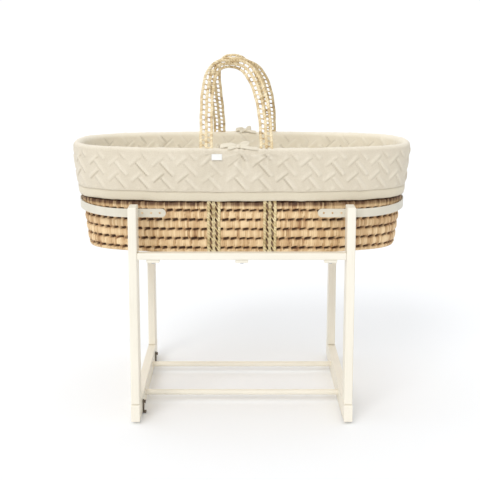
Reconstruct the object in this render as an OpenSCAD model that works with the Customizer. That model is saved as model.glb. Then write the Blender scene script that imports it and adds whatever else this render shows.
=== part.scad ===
// Moses basket on a rocking stand.
// Frame: origin on the floor under the middle of the stand, +Z up.
// X runs along the basket, -Y is the front.

/* [Stand] */
// Width of the stand across the outer faces of the posts
stand_w = 522; // [500:1:540]
// Depth of the stand across the outer faces of the posts
stand_d = 496; // [480:1:510]
// Thickness of the boards of the side frames
board_t = 20; // [18:0.5:24]
// Depth of a post
post_d = 48; // [40:1:56]
// Height of the post tops above the floor
post_top = 520; // [500:1:550]
// Height of the top edge of the rockers
rocker_h = 47; // [42:1:54]
// Radius of the rocking curve
rocker_r = 3200; // [1200:50:4000]
// Length of the flat in the middle of a rocker
rocker_flat = 80; // [40:5:120]
// Height of the top faces of the top rails
rail_top = 414; // [400:1:430]
// Height of a top rail
rail_h = 16; // [14:0.5:20]
// Depth of a top rail
rail_d = 22; // [18:1:26]
// Distance from the middle slat to the outer ones
slat_x = 205; // [180:1:215]
// Diameter of the round bottom rails
bottom_rail_dia = 14; // [12:0.5:16]
// Distance of a bottom rail from the middle of the stand
bottom_rail_y = 104; // [90:1:120]
// Height of the axis of a bottom rail
bottom_rail_z = 25; // [22:1:30]

/* [Bands] */
// Reach of a retaining band from the middle of the stand
band_reach = 404; // [402:1:412]
// Height of the middle of the bands
band_z = 499; // [485:1:510]
// Width of a band
band_h = 20; // [16:1:24]
// Thickness of a band
band_t = 2; // [1.5:0.25:3]
// Distance of the free ends of a band from the middle of the stand
band_tip_x = 177; // [160:1:190]

/* [Basket] */
// Half length of the woven basket at its bottom
basket_a = 376; // [372:1:382]
// Half width of the woven basket at its bottom
basket_b = 170; // [165:1:188]
// Height of the woven basket
basket_h = 232; // [225:1:255]
// Flare of the ends, outwards for each millimetre of height
flare_a = 0.134; // [0.1:0.002:0.14]
// Flare of the sides, outwards for each millimetre of height
flare_b = 0.045; // [0.03:0.005:0.1]
// Thickness of the woven wall
wall_t = 6; // [5:0.5:7]
// Thickness of the woven base
base_t = 8; // [6:0.5:10]
// Distance of the carrying straps from the middle
strap_x = 66; // [60:1:72]
// Width of the braid of the straps and handles
braid_w = 32; // [28:1:34]
// Thickness of the braid
braid_t = 5; // [4:0.5:6]

/* [Handles] */
// Length of the front handle from the rim to its top
front_handle_h = 239; // [230:1:260]
// Length of the rear handle from the rim to its top
rear_handle_h = 254; // [225:1:260]
// Lean of the handles towards each other, in degrees from upright
handle_lean = 39; // [36:1:46]

/* [Dressing] */
// Height of the seam between the skirt and its hem
skirt_seam_z = 546; // [540:1:565]
// Width of the hem of the skirt
hem_w = 21; // [16:1:25]
// Thickness of the padded fabric of the skirt
skirt_t = 3; // [2:0.5:4]
// Radius of the padded roll over the rim
roll_r = 10.5; // [10:0.5:13]

/* [Mattress] */
// Half length of the mattress
mattress_a = 355; // [345:1:358]
// Half width of the mattress
mattress_b = 152; // [145:1:160]
// Thickness of the mattress
mattress_h = 36; // [30:1:42]

/* [Hidden] */

$fn = 48;
paint = "#e9e6dc";
steel = "#b9bcbf";
dark_metal = "#6b645c";
straw = "#c9a66b";
oatmeal = "#e4dccd";

gap = 0.5;             // clearance between neighbouring soft layers
fit = 0.1;             // radial clearance of a screw, bolt or dowel in its hole
edge_r = 3;            // rounding of the board edges
slat_w = 30;
slat_t = 8;
post_x = stand_w / 2 - board_t / 2;
post_y = stand_d / 2 - post_d / 2;
inner_x = stand_w / 2 - board_t;
rail_y = stand_d / 2 - rail_d / 2;
rail_z = rail_top - rail_h / 2;
seat_z = rail_top - rail_h;
rim_z = seat_z + basket_h;
base_top = seat_z + base_t;
strap_t = 3;
post_inner_y = stand_d / 2 - post_d;

// ---------- shared shapes ----------

module rounded(w, h, r) {
    square([w - 2 * r, h], center = true);
    square([w, h - 2 * r], center = true);
    for (i = [-1, 1], j = [-1, 1]) translate([i * (w / 2 - r), j * (h / 2 - r)]) circle(r);
}

// A board with every edge rounded, centred on the origin
module board(x, y, z, r = edge_r) {
    intersection() {
        linear_extrude(z, center = true) rounded(x, y, r);
        rotate([90, 0, 0]) linear_extrude(y, center = true) rounded(x, z, r);
        rotate([90, 0, 90]) linear_extrude(x, center = true) rounded(y, z, r);
    }
}

function backwards(path) = [for (i = [len(path) - 1:-1:0]) path[i]];

module along_x(r, length) rotate([0, 90, 0]) cylinder(r = r, h = length, center = true);
module along_y(r, length) rotate([90, 0, 0]) cylinder(r = r, h = length, center = true);

// A ring of points on a superellipse: [half length, half width, height, exponent]
function ring_point(ring, t) =
    let (s = pow(pow(abs(cos(t)), ring[3]) + pow(abs(sin(t)), ring[3]), -1 / ring[3]))
    [s * ring[0] * cos(t), s * ring[1] * sin(t), ring[2]];

// The wall's own outline at height z, moved outwards by off
function exponent_at(z) = 3.6 - 0.7 * (z - seat_z) / basket_h;
function wall_ring(off, z) = [basket_a + flare_a * (z - seat_z) + off,
    basket_b + flare_b * (z - seat_z) + off, z, exponent_at(z)];

ring_steps = 72;
// Skin through a list of rings: closed on itself, or with flat faces on the first and last
module lofted(rings, closed = true) {
    count = len(rings);
    points = [for (r = rings, i = [0:ring_steps - 1]) ring_point(r, i * 360 / ring_steps)];
    bands = closed ? count : count - 1;
    sides = [for (j = [0:bands - 1], i = [0:ring_steps - 1])
        let (k = (j + 1) % count, n = (i + 1) % ring_steps)
        [j * ring_steps + i, k * ring_steps + i, k * ring_steps + n, j * ring_steps + n]];
    ends = closed ? [] : [[for (i = [0:ring_steps - 1]) i],
        [for (i = [ring_steps - 1:-1:0]) (count - 1) * ring_steps + i]];
    polyhedron(points, concat(sides, ends), convexity = 6);
}

// ---------- stand: side frames ----------

dowel_r = 4;
dowel_len = 44;
dowel_dy = 14;         // each dowel is this far from the middle of the post
post_screw_r = 2.5;
post_screw_head_r = 5;
post_screw_head_z = 20;
bolt_r = 3;
bolt_head_r = 6;
bolt_head_t = 5;
cap_t = 1.5;
nut_r = 5;
bolt_len = 42;
nut_x = inner_x - 22;  // barrel nut axis in the rail
bolt_bore = 62;        // the bore of a bolt reaches half of this into the rail
band_screw_r = 2;
band_screw_len = 22;

module at_dowels() for (j = [-1, 1]) translate([0, j * dowel_dy, rocker_h]) children();

module post(side, end) {
    color(paint) difference() {
        translate([side * post_x, end * post_y, (post_top + rocker_h) / 2])
            board(board_t, post_d, post_top - rocker_h);
        translate([side * post_x, end * post_y, 0]) at_dowels()
            cylinder(r = dowel_r + fit, h = dowel_len + 2 * fit, center = true);
        translate([side * post_x, end * post_y, rocker_h - 1]) cylinder(r = post_screw_r + fit, h = 42);
        translate([side * post_x, end * rail_y, rail_z]) along_x(bolt_r + fit, board_t + 2);
        translate([side * (stand_w / 2), end * rail_y, rail_z])
            along_x(bolt_head_r + fit, 2 * (bolt_head_t + cap_t));
        translate([side * post_x, end * post_inner_y, band_z]) along_y(band_screw_r + fit, 2 * band_screw_len);
    }
}
module front_left_post() post(-1, -1);
module front_right_post() post(1, -1);
module rear_left_post() post(-1, 1);
module rear_right_post() post(1, 1);

rocker_len = stand_d + 8;
curve_fn = 720;

module rocker_outline() intersection() {
    translate([0, rocker_h / 2]) rounded(rocker_len, rocker_h, edge_r);
    union() {
        for (j = [-1, 1]) translate([j * rocker_flat / 2, rocker_r]) circle(rocker_r, $fn = curve_fn);
        translate([-rocker_flat / 2, 0]) square([rocker_flat, rocker_h]);
    }
}

module rocker(side) {
    color(paint) difference() {
        translate([side * post_x, 0, 0]) rotate([90, 0, 90])
            linear_extrude(board_t, center = true) rocker_outline();
        for (end = [-1, 1]) translate([side * post_x, end * post_y, 0]) {
            at_dowels() cylinder(r = dowel_r + fit, h = dowel_len + 2 * fit, center = true);
            translate([0, 0, -1]) cylinder(r = post_screw_r + fit, h = rocker_h + 2);
            translate([0, 0, -1]) cylinder(r = post_screw_head_r + fit, h = post_screw_head_z + 1);
        }
        for (end = [-1, 1]) translate([side * inner_x, end * bottom_rail_y, bottom_rail_z]) {
            along_x(bottom_rail_dia / 2 + fit, 2 * socket_depth);
            translate([side * board_t, 0, 0]) along_x(rail_screw_r + fit, 2 * board_t);
            translate([side * board_t, 0, 0]) along_x(rail_screw_head_r + fit, 2 * rail_screw_head_t);
        }
        if (side < 0) for (end = [-1, 1]) at_lever(end) along_x(lever_bolt_r + fit, 3 * board_t);
    }
}
module left_rocker() rocker(-1);
module right_rocker() rocker(1);

module post_dowels() color(straw) for (side = [-1, 1], end = [-1, 1])
    translate([side * post_x, end * post_y, 0]) at_dowels()
        cylinder(r = dowel_r, h = dowel_len, center = true);

module post_screws() color(steel) for (side = [-1, 1], end = [-1, 1])
    translate([side * post_x, end * post_y, post_screw_head_z]) {
        translate([0, 0, -3 - fit]) cylinder(r = post_screw_head_r, h = 3);
        translate([0, 0, -1]) cylinder(r = post_screw_r, h = 60);
    }

// ---------- stand: rails, slats and their fixings ----------

module top_rail(end) {
    color(paint) difference() {
        translate([0, end * rail_y, rail_z]) board(2 * inner_x, rail_d, rail_h);
        for (side = [-1, 1]) translate([side * inner_x, end * rail_y, rail_z]) {
            along_x(bolt_r + fit, bolt_bore);
            translate([side * (nut_x - inner_x), 0, 0]) along_y(nut_r + fit, rail_d - 4);
        }
        for (x = [-slat_x, 0, slat_x]) translate([x, end * rail_y, seat_z - 1]) cylinder(r = 2, h = 12);
    }
}
module front_top_rail() top_rail(-1);
module rear_top_rail() top_rail(1);

module top_rail_bolts() color(steel) for (side = [-1, 1], end = [-1, 1])
    translate([side * (stand_w / 2 - cap_t), end * rail_y, rail_z]) {
        translate([-side * bolt_head_t / 2, 0, 0]) along_x(bolt_head_r, bolt_head_t - fit);
        translate([-side * (bolt_head_t - 1 + bolt_len / 2), 0, 0]) along_x(bolt_r, bolt_len);
    }

module barrel_nuts() color(steel) for (side = [-1, 1], end = [-1, 1])
    translate([side * nut_x, end * rail_y, rail_z]) difference() {
        along_y(nut_r, rail_d - 5);
        along_x(bolt_r + fit, 4 * nut_r);
    }

module bolt_caps() color(paint) for (side = [-1, 1], end = [-1, 1])
    translate([side * (stand_w / 2 - cap_t / 2), end * rail_y, rail_z]) along_x(bolt_head_r, cap_t - fit);

module slat(x) {
    color(paint) difference() {
        translate([x, 0, seat_z - slat_t / 2]) board(slat_w, stand_d - 8, slat_t, 2);
        for (end = [-1, 1]) translate([x, end * rail_y, seat_z - slat_t - 1]) cylinder(r = 2, h = slat_t + 2);
    }
}
module left_slat() slat(-slat_x);
module centre_slat() slat(0);
module right_slat() slat(slat_x);

module slat_screws() color(steel) for (x = [-slat_x, 0, slat_x], end = [-1, 1])
    translate([x, end * rail_y, seat_z - slat_t - 2]) {
        cylinder(r = 4, h = 2 - fit / 2);
        cylinder(r = 2 - fit, h = slat_t + 12);
    }

socket_depth = 12;
rail_screw_r = 2;
rail_screw_head_r = 4;
rail_screw_head_t = 3;

module bottom_rail(end) {
    color(paint) difference() {
        translate([0, end * bottom_rail_y, bottom_rail_z])
            along_x(bottom_rail_dia / 2, 2 * (inner_x + socket_depth - fit));
        for (side = [-1, 1]) translate([side * (inner_x + socket_depth), end * bottom_rail_y, bottom_rail_z])
            along_x(rail_screw_r, 70);
    }
}
module front_bottom_rail() bottom_rail(-1);
module rear_bottom_rail() bottom_rail(1);

module bottom_rail_screws() color(steel) for (side = [-1, 1], end = [-1, 1])
    translate([side * stand_w / 2, end * bottom_rail_y, bottom_rail_z]) {
        translate([-side * rail_screw_head_t / 2, 0, 0]) along_x(rail_screw_head_r, rail_screw_head_t - fit);
        translate([-side * 20, 0, 0]) along_x(rail_screw_r - fit, 36);
    }

// ---------- stand: retaining bands ----------

band_bend_x = 257;     // the band leaves the post here and bends round the basket end
band_y = post_inner_y - band_t / 2 - fit;
tip_hole_r = 2.5;

// Points of a band's centre line from the front tip to the rear one
function band_path(inset) = concat(
    [[band_tip_x + band_h / 2, -band_y + inset]],
    [for (t = [-90:5:90]) [band_bend_x + (band_reach - band_t / 2 - band_bend_x - inset) * cos(t),
        (band_y - inset) * sin(t)]],
    [[band_tip_x + band_h / 2, band_y - inset]]);

module band(side, holes) {
    half = band_t / 2;
    color("#f0ede4") difference() {
        scale([side, 1, 1]) union() {
            translate([0, 0, band_z]) linear_extrude(band_h, center = true)
                polygon(concat(band_path(-half), backwards(band_path(half))));
            for (end = [-1, 1]) translate([band_tip_x + band_h / 2, end * band_y, band_z])
                along_y(band_h / 2, band_t);
        }
        for (end = [-1, 1]) {
            for (x = holes) translate([side * x, end * band_y, band_z]) along_y(tip_hole_r, 3 * band_t);
            translate([side * post_x, end * band_y, band_z]) along_y(band_screw_r + fit, 3 * band_t);
        }
    }
}
module left_band() band(-1, [191, 211, 232]);
module right_band() band(1, [191, 211, 232]);

module band_screws(side) color(steel) for (end = [-1, 1])
    translate([side * post_x, end * (band_y - band_t / 2), band_z]) {
        translate([0, -end * (1 + fit), 0]) along_y(4.5, 2);
        translate([0, end * (band_screw_len / 2 - 2), 0]) along_y(band_screw_r, band_screw_len);
    }
module left_band_screws() band_screws(-1);
module right_band_screws() band_screws(1);

// ---------- stand: stabilisers on the left rocker ----------

lever_y = 178;
lever_z = 29;
lever_t = 3;
lever_len = 27;
lever_bolt_r = 3;
lever_gap = 0.6;

module at_lever(end) translate([-inner_x, end * lever_y, lever_z]) children();

module stabiliser(end) {
    color(dark_metal) at_lever(end) translate([lever_gap + lever_t / 2, 0, 0]) difference() {
        union() {
            along_x(5.5, lever_t);
            translate([0, 0, -lever_len / 2]) cube([lever_t, 8, lever_len], center = true);
            translate([2.5, 0, -lever_len + 1.5]) cube([lever_t + 5, 12, 3], center = true);
        }
        along_x(lever_bolt_r + 0.05, 2 * lever_t);
    }
}
module front_stabiliser() stabiliser(-1);
module rear_stabiliser() stabiliser(1);

module stabiliser_bolt(end) color(dark_metal) at_lever(end) {
    translate([(lever_gap + lever_t + 1 - board_t) / 2, 0, 0])
        along_x(lever_bolt_r, board_t + lever_gap + lever_t + 1);
    translate([lever_gap + lever_t + 2.5, 0, 0]) along_x(4, 3);
}
module front_stabiliser_bolt() stabiliser_bolt(-1);
module rear_stabiliser_bolt() stabiliser_bolt(1);

// ---------- basket ----------

module basket_base() color(straw)
    lofted([wall_ring(-6, seat_z), wall_ring(-2, seat_z + 1), wall_ring(0, seat_z + 4),
        wall_ring(0, base_top)], closed = false);

wall_levels = [base_top, seat_z + 80, seat_z + 160, rim_z];
module basket_wall() color(straw)
    lofted(concat([for (z = wall_levels) wall_ring(0, z)],
        [for (z = backwards(wall_levels)) wall_ring(-wall_t, z)]));

binding_r = 6;
module rim_binding() color(straw)
    lofted([for (t = [-112.5:45:202.5]) wall_ring(-wall_t / 2 + binding_r * cos(t),
        rim_z + gap + binding_r * (sin(t) + cos(22.5)))]);

// A strap hugs the wall from the rim down, passes under the base and climbs the other side
function strap_y(off, z) = basket_b + flare_b * (z - seat_z) + off;
function strap_drop(off) = [for (q = [[0, rim_z - 2], [0, seat_z + 6], [-2, seat_z - off]])
    [strap_y(off + q[0], q[1]), q[1]]];
function strap_path(off) = concat(strap_drop(off), [for (p = backwards(strap_drop(off))) [-p[0], p[1]]]);
module carry_strap(x) color("#c2a46c")
    translate([x, 0, 0]) rotate([90, 0, 90]) linear_extrude(braid_w, center = true)
        polygon(concat(strap_path(gap + strap_t), backwards(strap_path(gap))));
module left_carry_strap() carry_strap(-strap_x);
module right_carry_strap() carry_strap(strap_x);

// ---------- handles ----------

hinge_z = rim_z + 21;
hinge_y = basket_b + flare_b * basket_h - wall_t / 2;
handle_steps = 40;
handle_twist = 90;     // turn of the braid at the top of the arch

// An arch: [height, half width, sideways shift, lean to the left at the top, exponent]
front_arch = [front_handle_h, 70, -13, -16, 2.9];
rear_arch = [rear_handle_h, 67, 8, -30, 3.6];

// Point of a handle's centre line in its own plane: [sideways, upwards]
function arch_point(t, arch) =
    let (s = pow(pow(abs(cos(t)), arch[4]) + pow(abs(sin(t)), arch[4]), -1 / arch[4]),
         up = s * sin(t))
    [arch[2] + s * arch[1] * cos(t) + arch[3] * up * up, arch[0] * up];

function unit(v) = v / norm(v);
function arch_frame(t, arch) =
    let (step = unit(arch_point(t + 0.5, arch) - arch_point(t - 0.5, arch)),
         c = arch_point(t, arch),
         turn = handle_twist * pow(sin(t), 4),
         side = [step[1] * cos(turn), -step[0] * cos(turn), sin(turn)],
         face = [-step[1] * sin(turn), step[0] * sin(turn), cos(turn)])
    [for (q = [[1, 0], [0.8, 1], [-0.8, 1], [-1, 0], [-0.8, -1], [0.8, -1]])
        [c[0], c[1], 0] + side * q[0] * braid_w / 2 + face * q[1] * braid_t / 2];

// In the local frame X is sideways, Y is up the arch and Z is across it
module handle_solid(arch) {
    sections = [for (i = [0:handle_steps]) arch_frame(1 + 178 * i / handle_steps, arch)];
    points = [for (s = sections, p = s) p];
    sides = [for (i = [0:handle_steps - 1], j = [0:5])
        [i * 6 + j, i * 6 + (j + 1) % 6, (i + 1) * 6 + (j + 1) % 6, (i + 1) * 6 + j]];
    ends = [[for (j = [5:-1:0]) j], [for (j = [0:5]) handle_steps * 6 + j]];
    polyhedron(points, concat(sides, ends), convexity = 8);
}

module handle(end, arch)
    color("#cdb27c") translate([0, end * hinge_y, hinge_z]) rotate([end * handle_lean, 0, 0])
        rotate([90, 0, 0]) handle_solid(arch);
module front_handle() handle(-1, front_arch);
module rear_handle() handle(1, rear_arch);

// ---------- dressing ----------

liner_t = 2;
module inner_liner() color(oatmeal) {
    outside = -wall_t - 2 * gap;
    inside = outside - liner_t;
    low = base_top + gap;
    levels = [seat_z + 80, seat_z + 160, rim_z - 8];
    lofted(concat([wall_ring(outside, low)], [for (z = levels) wall_ring(outside, z)],
        [for (z = backwards(levels)) wall_ring(inside, z)], [wall_ring(inside, low + liner_t)]),
        closed = false);
}

// The roll is an arch of padding over the rim binding
roll_off = -wall_t / 2;
roll_z = rim_z + 8;
roll_t = 2.5;
module rim_roll() color(oatmeal) {
    outer = [for (t = [-12:17:192]) wall_ring(roll_off + roll_r * cos(t), roll_z + roll_r * sin(t))];
    inner = [for (t = [192:-17:-12])
        wall_ring(roll_off + (roll_r - roll_t) * cos(t), roll_z + (roll_r - roll_t) * sin(t))];
    lofted(concat(outer, inner));
}

skirt_off = 9;
skirt_top = rim_z + 4;
module skirt_cover() color(oatmeal) {
    outline = [[0, skirt_seam_z], [0, skirt_seam_z + 45], [0.5, skirt_top]];
    lofted(concat([for (q = outline) wall_ring(skirt_off + q[0], q[1])],
        [for (q = backwards(outline)) wall_ring(skirt_off + q[0] - skirt_t, q[1])]));
}

module skirt_hem() color(oatmeal) {
    top = skirt_seam_z - gap;
    lofted([wall_ring(skirt_off - 1, top - hem_w), wall_ring(skirt_off, top),
        wall_ring(skirt_off - skirt_t, top), wall_ring(skirt_off - 1 - skirt_t, top - hem_w)]);
}

bow_y = basket_b + flare_b * basket_h + roll_off;
bow_z = roll_z + roll_r + gap;
module tie_bow(end, x, span) color(oatmeal) translate([x, end * bow_y, bow_z + 4]) {
    board(9, 12, 7.9, 2.5);
    for (side = [-1, 1]) translate([side * (span / 4 + 2), 0, 0]) board(span / 2 - 6, 14, 5, 2);
}
module front_tie_bow() tie_bow(-1, -9, 92);
module rear_tie_bow() tie_bow(1, 9, 60);

label_w = 24;
label_h = 14;
module label_tag() color("white")
    translate([-58, -(basket_b + flare_b * basket_h + skirt_off + 1.2), rim_z - 1])
        cube([label_w, 0.8, label_h], center = true);

// ---------- mattress ----------

mattress_power = 3;
mattress_z = base_top + gap + liner_t + gap;
mattress_top = mattress_z + mattress_h;
cover_t = 2;
function pad_ring(inset, z) = [mattress_a - inset, mattress_b - inset, z, mattress_power];

module mattress_core() color("#f3eeda") {
    low = mattress_z + cover_t + gap;
    high = mattress_top - cover_t - gap;
    side = cover_t + gap;
    lofted([pad_ring(side + 5, low), pad_ring(side, low + 5), pad_ring(side, high - 5),
        pad_ring(side + 5, high)], closed = false);
}

// The cover is a pocket that wraps the core and leaves a slot open underneath
slot_inset = 60;
module mattress_cover() color("white") {
    low = mattress_z + cover_t;
    high = mattress_top - cover_t;
    lofted([pad_ring(cover_t + 4, high), pad_ring(cover_t, high - 4), pad_ring(cover_t, low + 4),
        pad_ring(cover_t + 4, low), pad_ring(slot_inset, low), pad_ring(slot_inset, mattress_z),
        pad_ring(5, mattress_z), pad_ring(0, mattress_z + 5), pad_ring(0, mattress_top - 5),
        pad_ring(5, mattress_top)], closed = false);
}

front_left_post();
front_right_post();
rear_left_post();
rear_right_post();
left_rocker();
right_rocker();
front_top_rail();
rear_top_rail();
left_slat();
centre_slat();
right_slat();
front_bottom_rail();
rear_bottom_rail();
left_band();
right_band();
left_band_screws();
right_band_screws();
slat_screws();
top_rail_bolts();
barrel_nuts();
bolt_caps();
post_dowels();
post_screws();
bottom_rail_screws();
front_stabiliser();
rear_stabiliser();
front_stabiliser_bolt();
rear_stabiliser_bolt();
basket_base();
basket_wall();
rim_binding();
left_carry_strap();
right_carry_strap();
front_handle();
rear_handle();
inner_liner();
rim_roll();
skirt_cover();
skirt_hem();
front_tie_bow();
rear_tie_bow();
label_tag();
mattress_core();
mattress_cover();
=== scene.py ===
import math

import bpy
import numpy as np
from mathutils import Matrix, Vector


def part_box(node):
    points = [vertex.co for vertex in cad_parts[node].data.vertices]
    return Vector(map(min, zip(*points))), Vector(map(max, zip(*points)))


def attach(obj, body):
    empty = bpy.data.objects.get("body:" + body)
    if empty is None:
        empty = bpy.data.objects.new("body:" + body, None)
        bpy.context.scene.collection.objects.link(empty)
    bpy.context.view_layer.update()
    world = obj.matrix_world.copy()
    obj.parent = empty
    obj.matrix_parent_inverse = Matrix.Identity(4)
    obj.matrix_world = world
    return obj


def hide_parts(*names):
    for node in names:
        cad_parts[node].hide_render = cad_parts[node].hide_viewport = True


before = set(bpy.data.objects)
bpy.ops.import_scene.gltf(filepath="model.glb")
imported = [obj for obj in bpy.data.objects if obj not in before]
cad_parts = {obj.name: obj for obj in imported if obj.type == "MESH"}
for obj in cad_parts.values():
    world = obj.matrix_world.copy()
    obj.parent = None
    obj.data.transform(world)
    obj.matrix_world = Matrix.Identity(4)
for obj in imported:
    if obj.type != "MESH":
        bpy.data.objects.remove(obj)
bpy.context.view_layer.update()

bl_info = {
    "name": "Moses Basket",
    "version": (1, 0, 0),
    "blender": (4, 5, 0),
    "location": "View3D > Sidebar > Basket",
    "description": "Weaves a palm moses basket and dresses it, on its painted rocking stand",
    "category": "Add Mesh",
}

# ---------- the frame's own places

MM = 0.001  # one millimetre
BASE_LOW, BASE_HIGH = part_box("basket_base")
WALL_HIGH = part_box("basket_wall")[1]
SEAT_Z = BASE_LOW.z  # underside of the basket, on the slats
FLOOR_Z = BASE_HIGH.z  # top of the woven base
RIM_Z = WALL_HIGH.z  # top of the woven wall
RIM_POWER, SEAT_POWER = 2.9, 3.6  # how square the outline is at the rim and at the seat; 2 is an ellipse
FRONT, REAR = -1, 1
LEFT, RIGHT = -1, 1
HINGE_Z = RIM_Z + 21 * MM  # where a handle bends, just above the padded roll
HINGE_Y = WALL_HIGH.y - 3 * MM
FINE = 1440  # steps of the table that spaces points evenly round the basket


def flare(low, high, z):
    """Size of the wall at height z, from its size at the base's top and at the rim."""
    return low + (high - low) * (z - FLOOR_Z) / (RIM_Z - FLOOR_Z)


def outline(theta, off, z):
    """Points round the basket: off is how far outside the woven wall, z the height."""
    power = SEAT_POWER + (RIM_POWER - SEAT_POWER) * (z - SEAT_Z) / (RIM_Z - SEAT_Z)
    c, s = np.cos(theta), np.sin(theta)
    reach = (np.abs(c) ** power + np.abs(s) ** power) ** (-1 / power)
    a = flare(BASE_HIGH.x, WALL_HIGH.x, z) + off
    b = flare(BASE_HIGH.y, WALL_HIGH.y, z) + off
    return np.stack([reach * a * c, reach * b * s, z + 0 * c], axis=-1)


def even_steps():
    """Angles at even distances round the wall, and the distance all round."""
    theta = np.linspace(0, 2 * math.pi, FINE + 1)
    ring = outline(theta, 0.0, np.full_like(theta, (SEAT_Z + RIM_Z) / 2))
    steps = np.linalg.norm(np.diff(ring, axis=0), axis=1)
    return theta, np.concatenate([[0], np.cumsum(steps)])


THETA, ROUND = even_steps()
GIRTH = ROUND[-1]


def around(u, off, z):
    """Points at the share u of the way round, from the basket's right end."""
    return outline(np.interp(u * GIRTH, ROUND, THETA), off, z)


def scatter(*keys):
    """A fixed number from 0 to 1 for each set of keys, the same every run."""
    total = sum(k * w for k, w in zip(keys, (127.1, 311.7, 74.7)))
    return np.modf(np.abs(np.sin(total) * 43758.5453))[0]


def ease(x):
    x = np.clip(x, 0, 1)
    return x * x * (3 - 2 * x)


def wobble(s, length, seed, waves=5):
    """A smooth uneven wave round the basket that closes on itself, from -1 to 1."""
    total = 0 * s
    for k in range(1, waves + 1):
        phase = 2 * math.pi * scatter(seed, k)
        total = total + np.sin(2 * math.pi * k * round(length / waves) * s / GIRTH + phase)
    return total / waves


# ---------- modelling helpers

def clear_selection():
    bpy.ops.object.select_all(action="DESELECT")


def only(obj):
    clear_selection()
    obj.select_set(True)
    bpy.context.view_layer.objects.active = obj
    return obj


def edit(obj, step, **options):
    """Runs one edit-mode operator on the whole of an object."""
    only(obj)
    bpy.ops.object.mode_set(mode="EDIT")
    bpy.ops.mesh.select_mode(type="VERT")
    bpy.ops.mesh.select_all(action="SELECT")
    step(**options)
    bpy.ops.object.mode_set(mode="OBJECT")


def weld(obj, distance=2e-6):
    edit(obj, bpy.ops.mesh.remove_doubles, threshold=distance)


def face_out(obj):
    edit(obj, bpy.ops.mesh.normals_make_consistent, inside=False)


def cut_faces(obj, chosen):
    """Deletes the faces for which chosen is true."""
    only(obj)
    bpy.ops.object.mode_set(mode="EDIT")
    bpy.ops.mesh.select_mode(type="FACE")
    bpy.ops.object.mode_set(mode="OBJECT")
    obj.data.polygons.foreach_set("select", chosen)
    bpy.ops.object.mode_set(mode="EDIT")
    bpy.ops.mesh.delete(type="FACE")
    bpy.ops.object.mode_set(mode="OBJECT")


def modify(obj, kind, **settings):
    """Adds a modifier, sets it and applies it."""
    only(obj)
    modifier = obj.modifiers.new(kind.lower(), kind)
    for key, value in settings.items():
        setattr(modifier, key, value)
    bpy.ops.object.modifier_apply(modifier=modifier.name)


def smooth(obj):
    only(obj)
    bpy.ops.object.shade_smooth()


def points_of(obj):
    flat = np.empty(len(obj.data.vertices) * 3)
    obj.data.vertices.foreach_get("co", flat)
    return flat.reshape(-1, 3)


def put_points(obj, points):
    obj.data.vertices.foreach_set("co", np.ascontiguousarray(points).ravel())
    obj.data.update()


def note(obj, name, values):
    """Stores one number for each vertex, for the material to read."""
    layer = obj.data.attributes.new(name, "FLOAT", "POINT")
    layer.data.foreach_set("value", np.ascontiguousarray(values, dtype=np.float32))


def lay_uv(obj, s, t):
    """Gives each vertex its place on the flat cloth or leaf, in metres."""
    corners = np.empty(len(obj.data.loops), dtype=np.int32)
    obj.data.loops.foreach_get("vertex_index", corners)
    layer = obj.data.uv_layers.active or obj.data.uv_layers.new(name="UVMap")
    layer.data.foreach_set("uv", np.stack([s, t], axis=-1)[corners].astype(np.float32).ravel())


def grid(name, columns, rows):
    """A flat grid, and each vertex's share across it and up it."""
    clear_selection()
    bpy.ops.mesh.primitive_grid_add(x_subdivisions=columns, y_subdivisions=rows, size=2)
    obj = bpy.context.object
    obj.name = obj.data.name = name
    flat = points_of(obj)
    return obj, (flat[:, 0] + 1) / 2, (flat[:, 1] + 1) / 2


def finish_piece(obj, material, body, *nodes, slot=None):
    obj.data.materials.clear()
    obj.data.materials.append(material)
    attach(obj, body)
    if nodes:
        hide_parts(*nodes)
    return obj


class Track:
    """A line in space with a side and a face direction, found again by distance along it."""

    def __init__(self, points, side, face=None):
        self.points = np.asarray(points, dtype=float)
        steps = np.linalg.norm(np.diff(self.points, axis=0), axis=1)
        self.along = np.concatenate([[0], np.cumsum(steps)])
        self.length = self.along[-1]
        self.side = np.broadcast_to(np.asarray(side, dtype=float), self.points.shape)
        heading = np.gradient(self.points, axis=0)
        heading /= np.linalg.norm(heading, axis=1)[:, None]
        self.face = np.cross(heading, self.side) if face is None else face

    def at(self, s, sideways, outwards):
        def read(table):
            return np.stack([np.interp(s, self.along, table[:, k]) for k in range(3)], axis=-1)
        side, face = read(self.side), read(self.face)
        side /= np.linalg.norm(side, axis=1)[:, None]
        face /= np.linalg.norm(face, axis=1)[:, None]
        return read(self.points) + side * sideways[:, None] + face * outwards[:, None]


def soften(points, rounds):
    """Rounds the corners of a closely spaced line."""
    points = np.asarray(points, dtype=float)
    for _ in range(rounds):
        points[1:-1] = (points[:-2] + 2 * points[1:-1] + points[2:]) / 4
    return points


def fill_in(points, gap):
    """Adds points along straight stretches so that none is longer than gap."""
    out = [np.asarray(points[0], dtype=float)]
    for a, b in zip(points[:-1], points[1:]):
        a, b = np.asarray(a, dtype=float), np.asarray(b, dtype=float)
        count = max(1, math.ceil(np.linalg.norm(b - a) / gap))
        out += [a + (b - a) * k / count for k in range(1, count + 1)]
    return np.array(out)


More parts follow.
